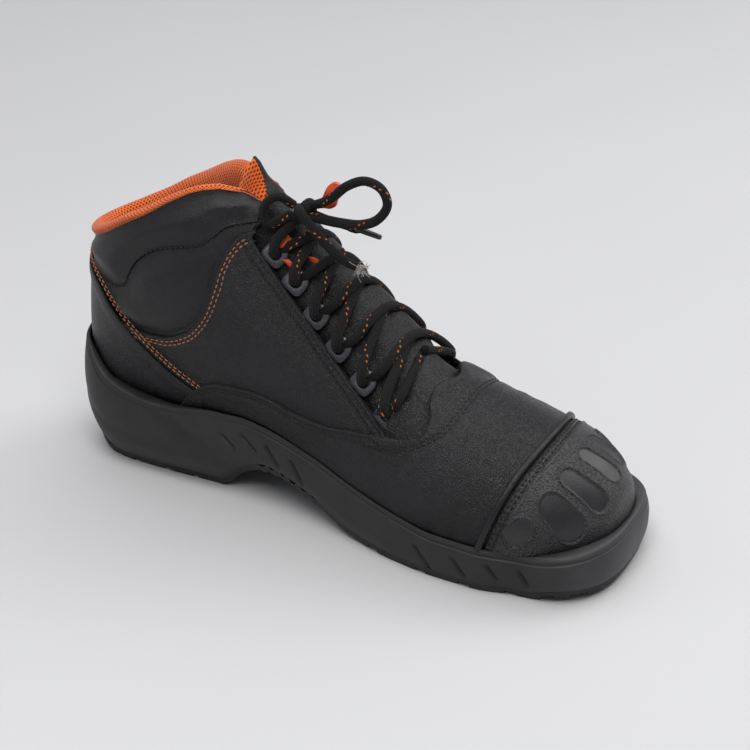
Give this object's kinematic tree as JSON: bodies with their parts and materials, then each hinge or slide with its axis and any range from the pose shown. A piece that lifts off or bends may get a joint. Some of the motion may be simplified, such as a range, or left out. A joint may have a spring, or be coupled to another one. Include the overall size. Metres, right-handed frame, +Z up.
{
  "type": "safety shoe",
  "caption": "Ankle-high lace-up safety shoe for the left foot, with a padded collar, toe guard, stitched overlays and a lugged sole with a raised arch.",
  "frame": {"origin": "on the floor under the middle of the shoe's bounding box, measured without the bow", "axes": "+X to the toe, +Y to the outer (lateral) side, +Z up from the floor"},
  "size_m": [0.301, 0.111, 0.1696],
  "materials": {
    "tread_rubber": "matt moulded rubber",
    "sole_foam": "matt moulded foam",
    "insole_felt": "felt",
    "lining_mesh": "open spacer mesh",
    "soft_leather": "soft padded leather",
    "leather": "grained leather",
    "scuff_rubber": "coarse grained scuff cap",
    "eyelet_plastic": "satin plastic",
    "lace_cord": "braided cord with flecks",
    "tag_plastic": "gloss plastic"
  },
  "bodies": {
    "root": {"outsole": "tread_rubber", "midsole": "sole_foam", "insole": "insole_felt", "upper": "leather", "tongue": "soft_leather", "collar_lining": "lining_mesh", "vamp": "leather", "quarter_near": "leather", "quarter_far": "leather", "ankle_pad_near": "soft_leather", "ankle_pad_far": "soft_leather", "cuff": "soft_leather", "heel_counter": "leather", "toe_guard": "scuff_rubber", "toe_seam": "leather", "eyelet_near_1": "eyelet_plastic", "eyelet_near_2": "eyelet_plastic", "eyelet_near_3": "eyelet_plastic", "eyelet_near_4": "eyelet_plastic", "eyelet_near_5": "eyelet_plastic", "eyelet_near_6": "eyelet_plastic", "eyelet_far_1": "eyelet_plastic", "eyelet_far_2": "eyelet_plastic", "eyelet_far_3": "eyelet_plastic", "eyelet_far_4": "eyelet_plastic", "eyelet_far_5": "eyelet_plastic", "eyelet_far_6": "eyelet_plastic", "lace_crossings": "lace_cord", "lace_knot": "lace_cord", "lace_loop_large": "lace_cord", "lace_loop_small": "lace_cord", "lace_end_tipped": "lace_cord", "lace_end_frayed": "lace_cord", "bow_tag": "tag_plastic"}
  },
  "joints": []
}
